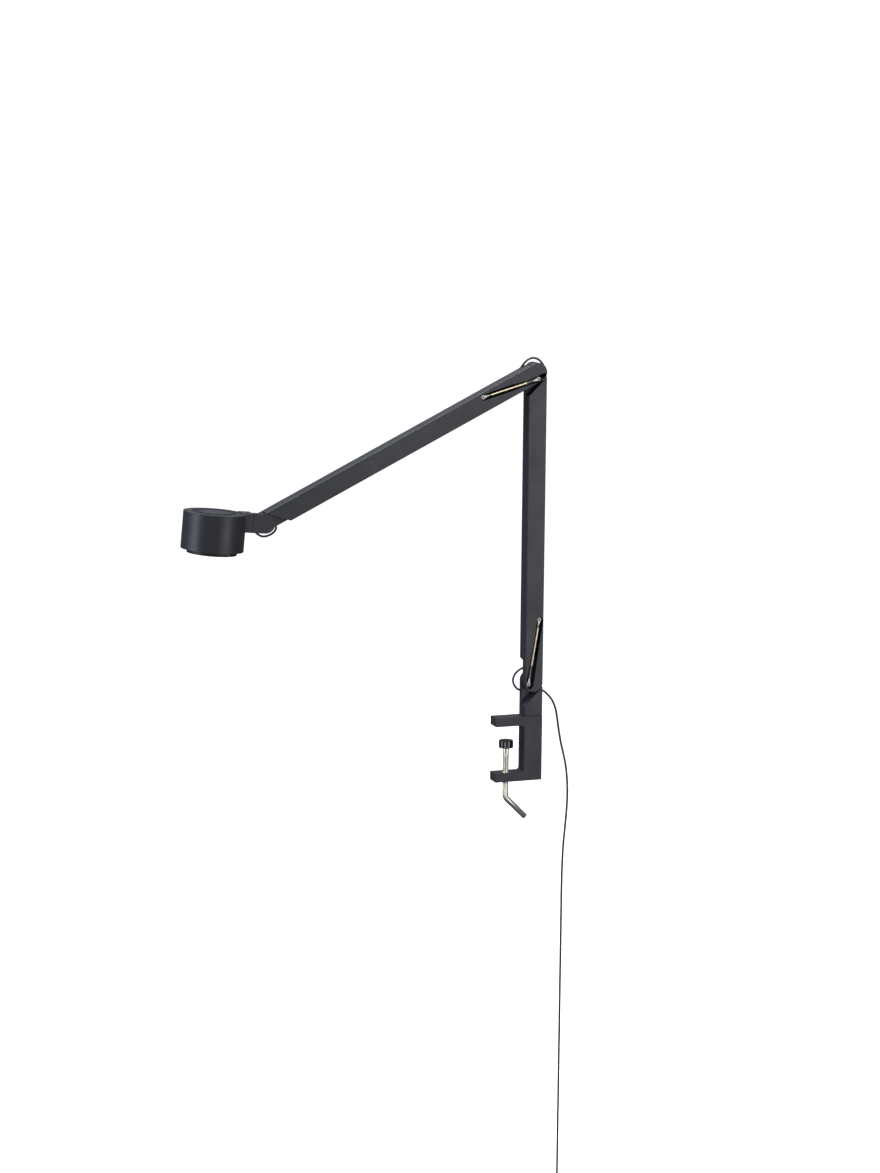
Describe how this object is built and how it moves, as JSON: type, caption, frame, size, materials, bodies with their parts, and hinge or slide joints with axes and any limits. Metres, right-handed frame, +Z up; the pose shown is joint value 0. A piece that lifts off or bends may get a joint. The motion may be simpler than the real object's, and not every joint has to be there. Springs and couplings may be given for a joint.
{
  "type": "architect desk lamp",
  "caption": "Clamp-mounted desk lamp: slim hollow arms on half-lap hinges with small gas springs in their slots, a swivel block, a C-clamp and a round vented head.",
  "frame": {"origin": "on the upper jaw's underside, where it meets the desk top, in line with the clamp screw", "axes": "+Z up, the arms move in the X-Z plane at rest, the head points to -X, and the gas springs face -Y"},
  "size_m": [0.5731, 0.084, 1.2641],
  "materials": {
    "body_plastic": "fine matt moulded surface",
    "cover_plastic": "fine matt moulded surface",
    "clamp_coating": "fine matt coating",
    "pad_cap": "glossy",
    "nickel": "polished, lightly worn",
    "steel": "turned",
    "black_steel": "blackened",
    "brass": "turned",
    "tube_finish": "pale satin",
    "bearing_plastic": "smooth",
    "friction_disc": "matt",
    "cord_jacket": "matt extruded jacket",
    "grommet": "matt",
    "sink": "die cast",
    "board": "white solder mask",
    "reflector_white": "bright white",
    "ring_black": "satin black",
    "opal": "opal, satin"
  },
  "bodies": {
    "clamp": {"clamp_frame": "clamp_coating", "thread_insert": "nickel", "swivel_pin": "steel", "swivel_washer": "friction_disc"},
    "pad": {"pressure_pad": "pad_cap"},
    "screw": {"clamp_screw": "nickel"},
    "block": {"base_block": "body_plastic", "block_grub_screw": "black_steel", "base_bush": "bearing_plastic", "base_friction_washer": "friction_disc", "cord_gland": "grommet", "block_cord": "cord_jacket", "power_cord": "cord_jacket", "cord_coil": "cord_jacket", "coil_tie": "grommet", "connector_lead": "cord_jacket", "power_connector": "ring_black", "base_cord_loop": "cord_jacket"},
    "lower_arm": {"lower_arm_shell": "body_plastic", "lower_arm_cover": "cover_plastic", "base_pivot_insert": "brass", "base_pivot_bolt": "steel", "lower_anchor_pin": "black_steel", "lower_arm_cord": "cord_jacket", "elbow_bush": "bearing_plastic", "elbow_friction_washer": "friction_disc", "elbow_cord_loop": "cord_jacket"},
    "lower_spring": {"lower_spring_tube": "tube_finish", "lower_spring_eyelet": "steel"},
    "lower_rod": {"lower_spring_rod": "steel", "lower_spring_rod_end": "steel", "lower_spring_pin": "black_steel"},
    "upper_arm": {"upper_arm_shell": "body_plastic", "upper_arm_cover": "cover_plastic", "elbow_pivot_insert": "brass", "elbow_pivot_bolt": "steel", "upper_anchor_pin": "black_steel", "upper_arm_cord": "cord_jacket", "head_bush": "bearing_plastic", "head_friction_washer": "friction_disc", "head_cord_loop": "cord_jacket"},
    "upper_spring": {"upper_spring_tube": "tube_finish", "upper_spring_eyelet": "steel"},
    "upper_rod": {"upper_spring_rod": "steel", "upper_spring_rod_end": "steel", "upper_spring_pin": "black_steel"},
    "bracket": {"head_bracket": "body_plastic", "head_pivot_insert": "brass", "head_pivot_bolt": "steel", "neck_tube": "steel", "neck_cord": "cord_jacket", "neck_nut": "steel"},
    "head": {"head_housing": "body_plastic", "heat_sink": "sink", "led_board": "board", "head_lead": "cord_jacket", "reflector": "reflector_white", "retaining_ring": "ring_black"},
    "dimmer": {"dimmer_ring": "ring_black", "diffuser": "opal"}
  },
  "joints": [
    {"name": "screw_feed", "type": "slide", "parent": "clamp", "child": "pad", "axis": [0, 0, 1], "range_m": [-0.033, 0.02]},
    {"name": "screw_turn", "type": "hinge", "parent": "pad", "child": "screw", "pos_m": [0, 0, 0], "axis": [0, 0, 1], "range_deg": [-9510, 5770]},
    {"name": "block_swivel", "type": "hinge", "parent": "clamp", "child": "block", "pos_m": [0.036, 0, 0.0131], "axis": [0, 0, 1], "range_deg": [-120, 120]},
    {"name": "base_tilt", "type": "hinge", "parent": "block", "child": "lower_arm", "pos_m": [0.036, 0, 0.06], "axis": [0, 1, 0], "range_deg": [-40, 30], "deforming": ["base_cord_loop"]},
    {"name": "elbow_lift", "type": "hinge", "parent": "lower_arm", "child": "upper_arm", "pos_m": [0.036, 0, 0.49], "axis": [0, 1, 0], "range_deg": [-17, 60], "deforming": ["elbow_cord_loop"]},
    {"name": "head_pitch", "type": "hinge", "parent": "upper_arm", "child": "bracket", "pos_m": [-0.34849, 0, 0.29746], "axis": [0, 1, 0], "range_deg": [-70, 12], "deforming": ["head_cord_loop"]},
    {"name": "head_roll", "type": "hinge", "parent": "bracket", "child": "head", "pos_m": [-0.34849, 0, 0.29746], "axis": [-0.9962, 0, 0.0872], "range_deg": [-90, 90]},
    {"name": "dimmer_turn", "type": "hinge", "parent": "head", "child": "dimmer", "pos_m": [-0.41623, 0, 0.30339], "axis": [0.0872, 0, 0.9962], "range_deg": [-135, 135]},
    {"name": "lower_spring_swing", "type": "hinge", "parent": "lower_arm", "child": "lower_spring", "pos_m": [0.0439, 0, 0.1477], "axis": [0, 1, 0], "range_deg": [-2.5, 2.5]},
    {"name": "lower_spring_stroke", "type": "slide", "parent": "lower_spring", "child": "lower_rod", "axis": [-0.1625, 0, -0.9867], "range_m": [-0.0055, 0.0045]},
    {"name": "upper_spring_swing", "type": "hinge", "parent": "upper_arm", "child": "upper_spring", "pos_m": [-0.04224, 0, 0.45798], "axis": [0, 1, 0], "range_deg": [-3.5, 1.5]},
    {"name": "upper_spring_stroke", "type": "slide", "parent": "upper_spring", "child": "upper_rod", "axis": [0.9613, 0, 0.2755], "range_m": [-0.0035, 0.0112]}
  ],
  "couplings": [
    {"joint": "screw_turn", "follows": "screw_feed", "rad_per_m": 5026.5},
    {"joint": "lower_spring_swing", "follows": "base_tilt", "ratio": -0.0349},
    {"joint": "lower_spring_stroke", "follows": "base_tilt", "m_per_rad": 0.006417},
    {"joint": "upper_spring_swing", "follows": "elbow_lift", "ratio": -0.0341},
    {"joint": "upper_spring_stroke", "follows": "elbow_lift", "m_per_rad": 0.007805}
  ]
}
